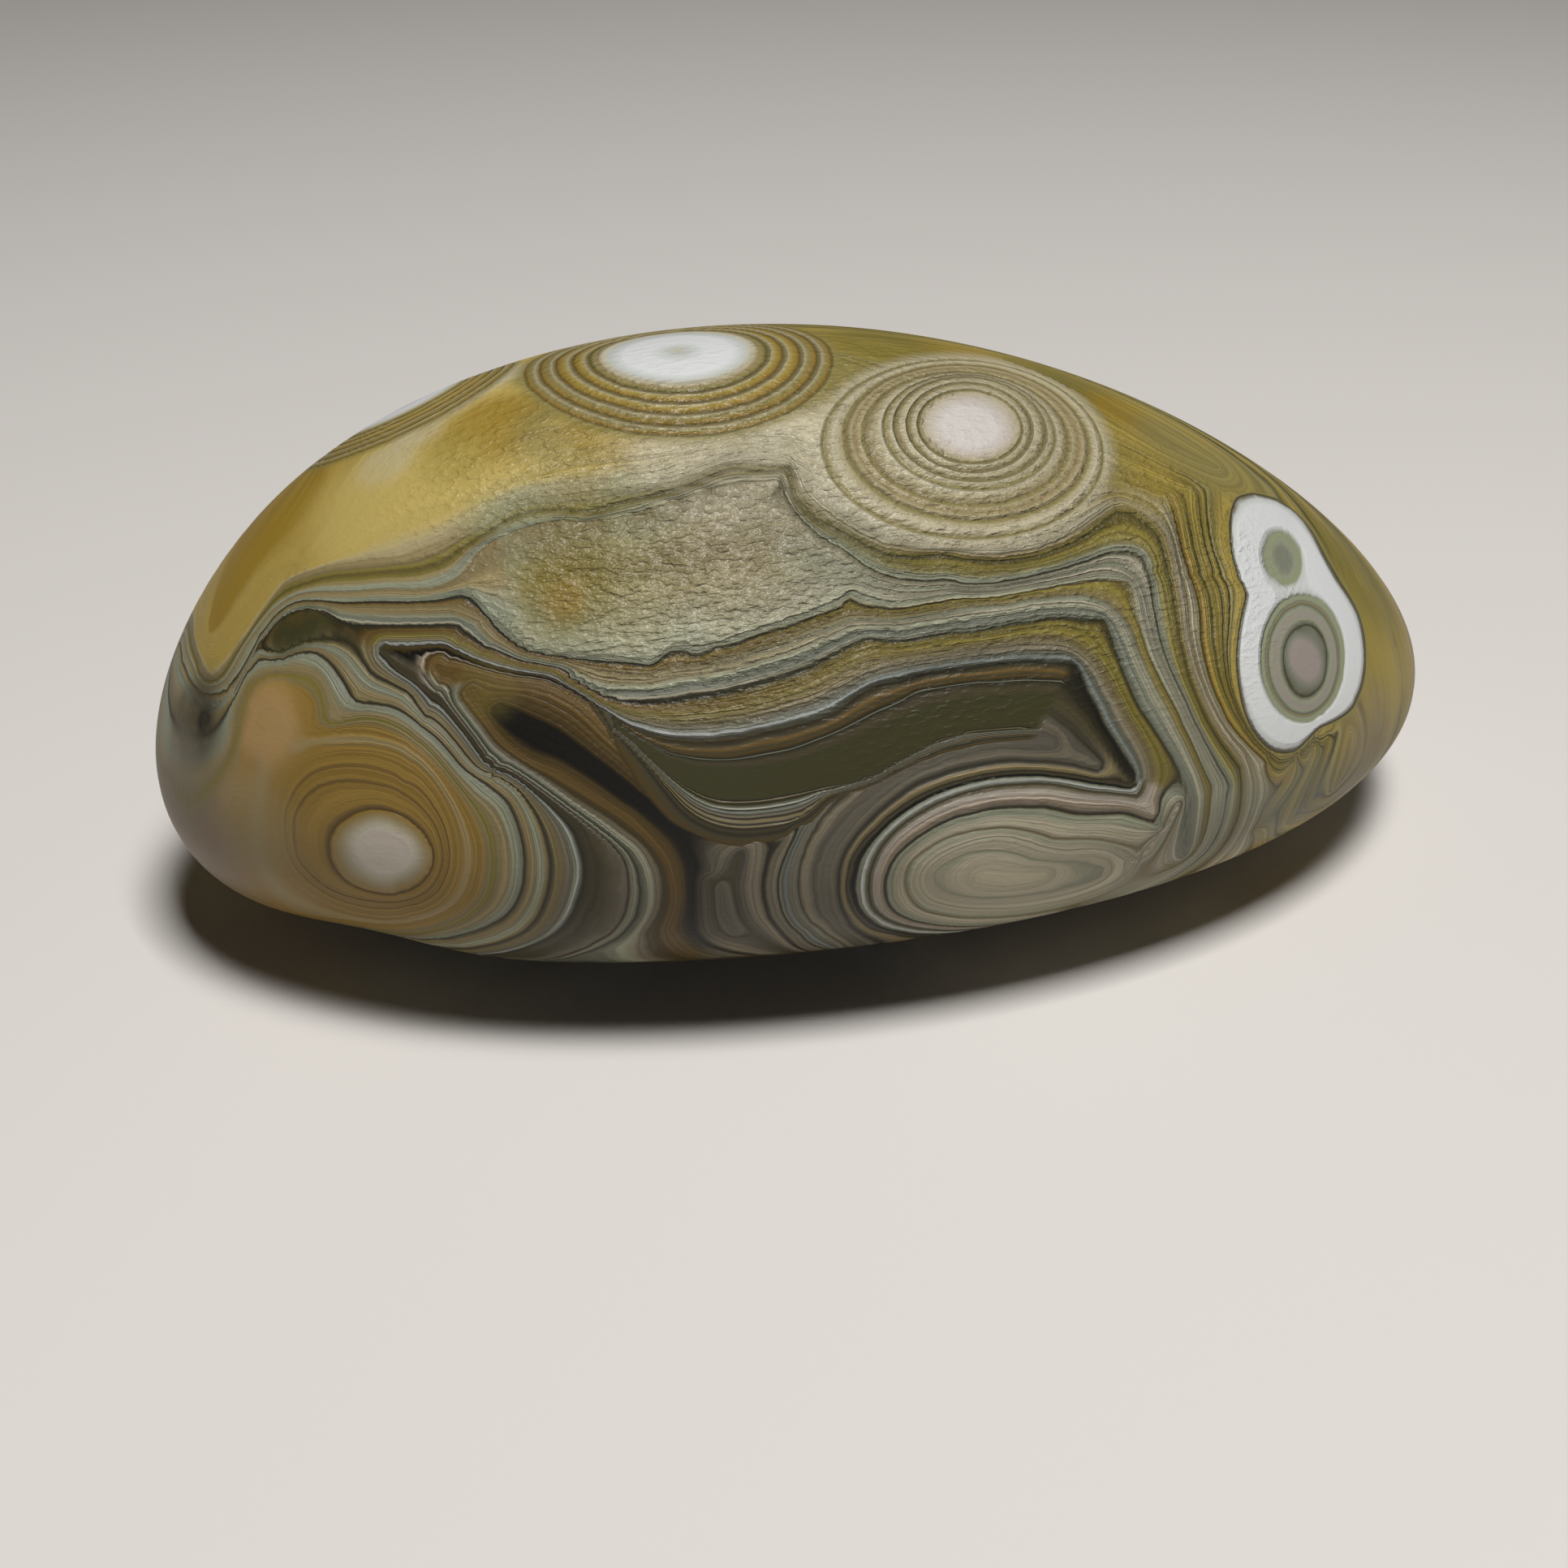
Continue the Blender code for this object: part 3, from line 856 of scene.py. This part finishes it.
# %% Colours by growth time
UPPER_LEFT = [
    (-9, "black"), (-6.6, "black"), (-5, "umber"), (-3.2, "brown"), (-1.6, "brown"), (-1.1, "umber"), (-0.85, "rose"),
    (-0.6, "black"), (-0.3, "black"), (0.1, "umber"), (0.5, "peat"), (0.9, "pearl"), (1.4, "slate"), (2.1, "khaki"),
    (3, "olive"), (4, "brown"), (4.6, "umber"), (5, "smoke"), (5.2, "smoke"), (5.5, "cream"), (5.8, "ash"),
    (6.5, "fog"), (7.2, "tan"), (8, "khaki"), (8.65, "brown"), (8.92, "smoke"), (9.08, "smoke"), (9.35, "fog"),
    (10.2, "fog"), (11, "tan"), (11.9, "tan"), (12.05, "khaki"), (12.5, "fog"), (13.1, "fog"), (13.6, "tan"),
    (14.4, "olive"), (15, "bronze"), (15.6, "olive"), (16.2, "khaki"), (17, "tan"), (17.6, "sand"), (18.3, "honey"),
    (26.5, "honey"), (29.0, "amber"), (34, "amber"),
]
UPPER_RIGHT = [
    (-9, "black"), (-3, "peat"), (-0.8, "peat"), (-0.4, "smoke"), (0.1, "black"), (0.45, "slate"),
    (0.85, "blue grey"), (1.2, "slate"), (2, "taupe"), (3, "khaki"), (3.8, "olive"), (4.5, "olive"), (4.85, "bronze"),
    (5.05, "bottle"), (5.3, "slate"), (6, "ash"), (6.6, "fog"), (7.1, "beige"), (7.6, "fog"), (8, "khaki"),
    (8.75, "olive"), (8.97, "bronze"), (9.1, "sand"), (9.4, "fog"), (10.4, "beige"), (11, "fog"), (11.6, "beige"),
    (11.85, "slate"), (12.02, "peat"), (12.25, "fog"), (12.7, "fog"), (13.2, "moss"), (14.2, "olive"),
    (14.7, "bronze"), (15.1, "fern"), (15.45, "olive"), (15.9, "tan"), (16.4, "sand"), (17, "cream"), (18, "tan"), (19.2, "cream"),
    (20.3, "sand"), (20.75, "olive"), (21, "bottle"), (21.2, "ochre"), (22.3, "straw"), (23.2, "olive"),
    (23.4, "bottle"), (23.6, "olive"), (24.5, "straw"), (25.7, "olive"), (26, "bottle"), (26.2, "olive"),
    (26.8, "straw"), (27.4, "olive"), (27.6, "bottle"), (27.9, "moss"), (29, "straw"), (34, "straw"),
]
LOWER_LEFT = [
    (-12, "peat"), (-9.2, "peat"), (-8.6, "smoke"), (-8, "black"), (-7.2, "black"), (-6.2, "umber"), (-5.6, "brown"),
    (-4.4, "umber"), (-3.9, "peat"), (-3.3, "taupe"), (-2.7, "fog"), (-2.3, "slate"), (-1.9, "smoke"), (-1.5, "fog"),
    (-1.15, "taupe"), (-0.9, "smoke"), (-0.6, "taupe"), (-0.3, "peat"), (0.3, "peat"), (0.6, "smoke"), (0.9, "smoke"),
    (1.15, "slate"), (1.45, "pearl"), (1.75, "fog"), (2.1, "slate"), (2.6, "taupe"), (3.4, "khaki"), (4.3, "khaki"),
    (4.75, "peat"), (5.0, "smoke"), (5.2, "peat"), (5.6, "khaki"), (6.1, "fog"), (6.7, "fog"), (7.4, "tan"),
    (8.3, "khaki"), (8.75, "peat"), (9, "smoke"), (9.25, "slate"), (9.7, "fog"), (10.6, "fog"), (11.8, "tan"),
    (12.6, "khaki"), (12.95, "olive"), (13.2, "olive"), (14, "khaki"), (15, "ochre"), (16.4, "ochre"), (17.2, "tan"), (18.2, "ochre"),
    (20.4, "ochre"), (20.8, "brown"), (21.1, "ochre"), (22.2, "ochre"), (22.5, "brown"), (22.8, "ochre"),
    (24.3, "ochre"), (24.75, "brown"), (24.9, "umber"), (25.05, "ochre"), (25.5, "tan"), (26.2, "beige"),
    (26.9, "bone"), (28, "bone"),
]
LOWER_RIGHT = [
    (-12, "dusk"), (-10.3, "dusk"), (-9.95, "peat"), (-9.5, "dusk"), (-8.9, "taupe"), (-8, "taupe"),
    (-7.65, "smoke"), (-7.4, "smoke"), (-7, "taupe"), (-6.3, "taupe"), (-6.05, "black"), (-5.85, "fog"),
    (-5.6, "dusk"), (-5.3, "blue grey"), (-5.05, "slate"), (-4.6, "taupe"), (-4.2, "ash"), (-4, "peat"), (-3.7, "taupe"),
    (-3.1, "dusk"), (-2.5, "dusk"), (-2.1, "taupe"), (-1.75, "dusk"), (-1.45, "smoke"), (-1.1, "dusk"),
    (-0.65, "tan"), (-0.4, "khaki"), (-0.15, "smoke"), (0.2, "peat"), (0.4, "black"), (0.65, "black"),
    (0.95, "fog"), (1.2, "pearl"), (1.6, "fog"), (1.85, "peat"), (2.05, "peat"), (2.4, "taupe"), (3, "bone"),
    (4, "rose"), (4.6, "taupe"), (4.9, "smoke"), (5.1, "peat"), (5.4, "fog"), (6.2, "fog"), (6.8, "beige"),
    (7.7, "cream"), (8.5, "beige"), (8.9, "khaki"), (9.1, "taupe"), (9.5, "fog"), (10.2, "beige"), (10.8, "beige"),
    (11.0, "fog"), (11.2, "beige"), (12.7, "beige"), (13, "fog"), (13.3, "beige"), (16, "cream"),
]
POCKET_COLOURS = [
    (-1, "peat"), (-0.1, "smoke"), (0.3, "peat"), (0.75, "brown"), (1.15, "peat"), (1.5, "umber"), (1.75, "smoke"),
    (1.9, "smoke"), (2, "fog"), (2.12, "smoke"), (2.6, "peat"), (3, "peat"), (3.4, "bottle"), (4.5, "fern"),
    (6.5, "fern"), (6.75, "bottle"), (6.93, "black"), (7.08, "khaki"), (7.25, "smoke"), (7.5, "fern"),
    (7.8, "slate"), (8, "fog"), (8.15, "smoke"), (8.5, "ash"), (8.75, "dusk"), (9, "taupe"), (9.2, "smoke"),
    (9.5, "khaki"), (9.7, "taupe"), (9.9, "smoke"), (10.2, "khaki"), (10.45, "smoke"), (10.8, "peat"),
    (11.3, "smoke"), (12, "peat"), (13, "umber"), (13.4, "smoke"), (13.7, "black"),
]
RINGED_COLOURS = [
    (0, "shell"), (0.6, "shell"), (1.5, "bone"), (2.2, "sand"), (2.5, "khaki"), (2.65, "moss"), (2.9, "cream"),
    (3.5, "sand"), (3.95, "khaki"), (4.1, "moss"), (4.35, "cream"), (5.3, "sand"), (5.9, "khaki"), (6.05, "moss"),
    (6.3, "cream"), (6.8, "sand"), (7.2, "moss"), (7.5, "cream"), (8.2, "sand"), (8.9, "khaki"), (9.1, "moss"),
    (9.4, "sand"), (10.0, "tan"), (10.5, "sand"), (10.9, "khaki"), (11.1, "moss"), (11.4, "sand"), (12.2, "cream"),
    (12.7, "sand"), (13, "moss"), (13.3, "cream"), (15, "cream"),
]
TWIN_COLOURS = [
    (0, "heather"), (1.2, "heather"), (1.7, "ash"), (1.9, "slate"), (2.02, "fern"), (2.15, "slate"), (2.5, "fog"),
    (3.0, "heather"), (3.5, "fog"), (3.72, "ash"), (3.84, "slate"), (3.95, "moss"), (4.1, "ash"), (4.25, "fog"),
    (4.42, "sage"), (4.58, "fog"), (4.75, "pearl"), (5.0, "milk"), (7.4, "milk"), (7.8, "pearl"), (8.0, "taupe"),
    (8.22, "bottle"), (8.45, "moss"), (9, "moss"),
]
TOP_COLOURS = [
    (0, "cream"), (0.5, "pearl"), (1.2, "milk"), (2.4, "milk"), (2.9, "pearl"), (3.3, "cream"), (3.55, "tan"),
    (3.75, "moss"), (3.9, "bronze"), (4.0, "khaki"), (4.12, "sand"), (4.3, "straw"), (4.5, "ochre"), (4.6, "bronze"),
    (4.7, "khaki"), (4.82, "sand"), (5.0, "straw"), (5.25, "ochre"), (5.35, "bronze"), (5.45, "khaki"),
    (5.57, "sand"), (5.75, "moss"), (6.0, "ochre"), (6.1, "bronze"), (6.2, "khaki"), (6.32, "sand"),
    (6.5, "moss"), (6.65, "ochre"), (6.75, "bronze"), (6.87, "moss"), (7.3, "olive"),
]
print(len(COLOURS), "mineral colours")

# %% Small tools for node groups
def group(name, inputs, outputs):
    """A new shader node group with its input and output nodes."""
    made = bpy.data.node_groups.new(name, "ShaderNodeTree")
    for label, kind in inputs:
        made.interface.new_socket(label, in_out="INPUT", socket_type="NodeSocket" + kind)
    for label, kind in outputs:
        made.interface.new_socket(label, in_out="OUTPUT", socket_type="NodeSocket" + kind)
    return made, made.nodes.new("NodeGroupInput").outputs, made.nodes.new("NodeGroupOutput").inputs


def feed(tree, socket, value):
    """Join an output to a socket, or set the socket to a plain value."""
    if isinstance(value, bpy.types.NodeSocket):
        tree.links.new(value, socket)
    else:
        socket.default_value = value


def math_node(tree, operation, *values):
    """A math node with its values fed in; gives its output."""
    node = tree.nodes.new("ShaderNodeMath")
    node.operation = operation
    for socket, value in zip(node.inputs, values):
        feed(tree, socket, value)
    return node.outputs[0]


def step_node(tree, value, low, high, start=0.0, end=1.0):
    """A soft rise from start to end while value goes from low to high."""
    node = tree.nodes.new("ShaderNodeMapRange")
    node.interpolation_type = "SMOOTHSTEP"
    for socket, number in zip(node.inputs, (value, low, high, start, end)):
        feed(tree, socket, number)
    return node.outputs[0]


def mix_node(tree, share, first, second, blend="MIX"):
    """A colour mix node; gives its colour."""
    node = tree.nodes.new("ShaderNodeMix")
    node.data_type, node.blend_type = "RGBA", blend
    feed(tree, node.inputs[0], share)
    feed(tree, node.inputs[6], first)
    feed(tree, node.inputs[7], second)
    return node.outputs[2]


def noise_node(tree, place, scale, detail=2.0, roughness=0.5):
    """A noise texture; gives its value."""
    node = tree.nodes.new("ShaderNodeTexNoise")
    feed(tree, node.inputs["Vector"], place)
    node.inputs["Scale"].default_value = scale
    node.inputs["Detail"].default_value = detail
    node.inputs["Roughness"].default_value = roughness
    return node.outputs["Fac"]


def colour_ramp(tree, value, stops):
    """Colours by growth time: a ramp with a stop for each (growth time, colour name).

    A ramp holds 32 stops at most, so a longer list is cut in two that meet at their middle stop.
    """
    if len(stops) > 32:
        half = len(stops) // 2
        early, late = colour_ramp(tree, value, stops[: half + 1]), colour_ramp(tree, value, stops[half:])
        return mix_node(tree, math_node(tree, "GREATER_THAN", value, stops[half][0]), early, late)
    low, high = stops[0][0], stops[-1][0]
    share = math_node(tree, "DIVIDE", math_node(tree, "SUBTRACT", value, low), high - low)
    node = tree.nodes.new("ShaderNodeValToRGB")
    feed(tree, node.inputs[0], share)
    elements = node.color_ramp.elements
    elements.remove(elements[0])
    for k, (time, name) in enumerate(stops):
        place = (time - low) / (high - low)
        stop = elements[0] if k == 0 else elements.new(place)
        stop.position, stop.color = place, paint(name)
    return node.outputs["Color"]


# %% The node groups for bands and eyes
def bands_group(name, left, right_stops):
    """Bands on one side of the core: one ramp for the left of the stone, one for the right."""
    tree, given, out = group(name, [("Growth", "Float"), ("Rightward", "Float")], [("Color", "Color")])
    colour = mix_node(
        tree, given["Rightward"], colour_ramp(tree, given["Growth"], left), colour_ramp(tree, given["Growth"], right_stops)
    )
    feed(tree, out["Color"], colour)
    return tree


def eye_group(name, stops, edge, softness):
    """Rings by growth time up to an edge, with a mask that ends there."""
    tree, given, out = group(name, [("Growth", "Float")], [("Color", "Color"), ("Mask", "Float")])
    feed(tree, out["Color"], colour_ramp(tree, given["Growth"], stops))
    feed(tree, out["Mask"], step_node(tree, given["Growth"], edge - softness, edge, 1.0, 0.0))
    return tree


tree, given, out = group("fine layers", [("Growth", "Float"), ("Place", "Vector")], [("Shade", "Float")])
along = tree.nodes.new("ShaderNodeTexNoise")
along.noise_dimensions = "4D"
feed(tree, along.inputs["Vector"], given["Place"])
feed(tree, along.inputs["W"], math_node(tree, "MULTIPLY", given["Growth"], 2.2))
along.inputs["Scale"].default_value = 1.0
along.inputs["Detail"].default_value = 3.0
along.inputs["Roughness"].default_value = 0.65
feed(tree, out["Shade"], step_node(tree, along.outputs["Fac"], 0.37, 0.63, 0.66, 1.20))
fine_layers = tree

upper_bands = bands_group("bands above the core", UPPER_LEFT, UPPER_RIGHT)
lower_bands = bands_group("bands below the core", LOWER_LEFT, LOWER_RIGHT)
ringed_rings = eye_group("ringed eye", RINGED_COLOURS, 15.0, 2.4)
twin_rings = eye_group("twin eye", TWIN_COLOURS, 9.0, 0.8)
top_rings = eye_group("top eye", TOP_COLOURS, 7.5, 0.9)
pocket_rings = eye_group("dark pocket", POCKET_COLOURS, 13.5, 0.4)

# %% The stone's material
agate = bpy.data.materials.new("banded agate")
agate.use_nodes = True
nodes = agate.node_tree
shader = nodes.nodes["Principled BSDF"]


def attribute(name):
    """The value the skin keeps under a name."""
    node = nodes.nodes.new("ShaderNodeAttribute")
    node.attribute_name = name
    return node.outputs["Fac"]


def place_group(tree, made, **values):
    """Place a node group and feed its inputs; gives its outputs."""
    node = tree.nodes.new("ShaderNodeGroup")
    node.node_tree = made
    for label, value in values.items():
        feed(tree, node.inputs[label], value)
    return node.outputs


place = nodes.nodes.new("ShaderNodeTexCoord").outputs["Object"]
wander = math_node(nodes, "SUBTRACT", noise_node(nodes, place, 700.0, 3.0), 0.5)
tremble = math_node(nodes, "SUBTRACT", noise_node(nodes, place, 2600.0, 2.0), 0.5)
tremble = math_node(nodes, "MULTIPLY", tremble, attribute("satin"))
time = math_node(nodes, "MULTIPLY_ADD", wander, 0.5, attribute("growth"))
time = math_node(nodes, "MULTIPLY_ADD", tremble, 0.4, time)
right_share = attribute("rightward")
upper = place_group(nodes, upper_bands, Growth=time, Rightward=right_share)["Color"]
lower = place_group(nodes, lower_bands, Growth=time, Rightward=attribute("right below"))["Color"]
colour = mix_node(nodes, attribute("underside"), upper, lower)
wide_place = nodes.nodes.new("ShaderNodeVectorMath")
wide_place.operation = "SCALE"
feed(nodes, wide_place.inputs[0], place)
wide_place.inputs["Scale"].default_value = 60.0
shade = place_group(nodes, fine_layers, Growth=time, Place=wide_place.outputs[0])["Shade"]
milky = math_node(nodes, "MULTIPLY", step_node(nodes, time, 24.0, 26.0), attribute("underside"))
faint = math_node(nodes, "MAXIMUM", milky, step_node(nodes, attribute("calm"), 0.1, 0.9))
shade = math_node(nodes, "MULTIPLY_ADD", math_node(nodes, "SUBTRACT", 1.0, shade), faint, shade)
colour = mix_node(nodes, 1.0, colour, shade, "MULTIPLY")
cloud = nodes.nodes.new("ShaderNodeAttribute")
cloud.attribute_name = "cloud colour"
cloudy = math_node(nodes, "MULTIPLY", attribute("clouds"), step_node(nodes, wander, -0.35, 0.1, 0.55, 1.0))
soft_shade = math_node(nodes, "POWER", shade, 0.4)
stain = mix_node(nodes, 1.0, cloud.outputs["Color"], soft_shade, "MULTIPLY")
colour = mix_node(nodes, cloudy, colour, stain)
for made, name in (
    (pocket_rings, "pocket"), (ringed_rings, "ringed eye"), (twin_rings, "twin eye"), (top_rings, "top eye"),
):
    rings = place_group(nodes, made, Growth=math_node(nodes, "MULTIPLY_ADD", wander, 0.2, attribute(name)))
    mask = rings["Mask"]
    if name == "pocket":
        mask = math_node(nodes, "MULTIPLY", mask, step_node(nodes, attribute(name), -0.1, 0.1))
        mask = math_node(nodes, "MULTIPLY", mask, step_node(nodes, attribute("growth"), 0.0, 0.4, 1.0, 0.0))
        mask = math_node(nodes, "MULTIPLY", mask, attribute("pocket end"))
    colour = mix_node(nodes, mask, colour, rings["Color"])
feed(nodes, shader.inputs["Base Color"], colour)

# %% [markdown]
# The finest relief is left to a bump: pale layers stand a little proud, and the satin places are wrinkled
# like the skin of an orange.

# %% The fine relief and the gloss
tree, given, out = group(
    "satin relief",
    [("Place", "Vector"), ("Color", "Color"), ("Satin", "Float")],
    [("Height", "Float"), ("Roughness", "Float")],
)
grey = tree.nodes.new("ShaderNodeRGBToBW")
feed(tree, grey.inputs[0], given["Color"])
flattened = tree.nodes.new("ShaderNodeVectorMath")
flattened.operation = "MULTIPLY"
feed(tree, flattened.inputs[0], given["Place"])
flattened.inputs[1].default_value = (0.6, 1.0, 1.7)
wrinkles = noise_node(tree, flattened.outputs[0], 3000.0, 2.0, 0.5)
creases = math_node(tree, "ABSOLUTE", math_node(tree, "SUBTRACT", wrinkles, 0.5))
grain = noise_node(tree, given["Place"], 6000.0, 2.0, 0.6)
rough_relief = math_node(tree, "MULTIPLY_ADD", creases, 0.35, math_node(tree, "MULTIPLY", grain, 0.12))
rough_relief = math_node(tree, "MULTIPLY_ADD", wrinkles, 0.7, rough_relief)
rough_relief = math_node(tree, "MULTIPLY", rough_relief, step_node(tree, given["Satin"], 0.0, 0.8, 0.05, 1.0))
line_relief = math_node(tree, "MULTIPLY", grey.outputs[0], step_node(tree, given["Satin"], 0.0, 0.8, 0.9, 2.0))
feed(tree, out["Height"], math_node(tree, "ADD", rough_relief, line_relief))
feed(tree, out["Roughness"], step_node(tree, given["Satin"], 0.0, 0.8, 0.45, 0.32))
relief = place_group(nodes, tree, Place=place, Color=colour, Satin=attribute("satin"))
bump = nodes.nodes.new("ShaderNodeBump")
bump.inputs["Strength"].default_value = 1.0
bump.inputs["Distance"].default_value = 0.45 * MM
feed(nodes, bump.inputs["Height"], relief["Height"])
feed(nodes, shader.inputs["Normal"], bump.outputs["Normal"])
feed(nodes, shader.inputs["Roughness"], relief["Roughness"])
shader.inputs["Specular IOR Level"].default_value = 0.27
mesh.materials.append(agate)

# %% [markdown]
# ## The studio
# A pale floor, a soft window light high above the stone and a little in front, and a faint light from the room in
# front.

# %% The floor
bpy.ops.mesh.primitive_plane_add(size=3.0, location=(0, 0, 0))
floor = bpy.context.object
floor.name = "floor"
floor_paint = bpy.data.materials.new("pale floor")
floor_paint.use_nodes = True
floor_shader = floor_paint.node_tree.nodes["Principled BSDF"]
floor_shader.inputs["Base Color"].default_value = (0.62, 0.588, 0.551, 1)
floor_shader.inputs["Roughness"].default_value = 0.9
floor.data.materials.append(floor_paint)

# %% The lights
def soft_light(name, place_mm, size_mm, power, aim=(0, 0, 10)):
    """A square soft light that looks at the stone."""
    data = bpy.data.lights.new(name, "AREA")
    data.size, data.energy = size_mm * MM, power
    light = bpy.data.objects.new(name, data)
    light.location = Vector(place_mm) * MM
    light.rotation_euler = (Vector(place_mm) - Vector(aim)).to_track_quat("Z", "Y").to_euler()
    bpy.context.scene.collection.objects.link(light)
    return light


soft_light("window", (20, -105, 400), 120, 1.98)
soft_light("room", (-110, -385, 85), 260, 0.10)
world = bpy.data.worlds.new("studio")
world.use_nodes = True
world.node_tree.nodes["Background"].inputs["Color"].default_value = (1.0, 0.97, 0.92, 1)
world.node_tree.nodes["Background"].inputs["Strength"].default_value = 0.01
bpy.context.scene.world = world
bpy.context.scene.view_settings.view_transform = "Standard"
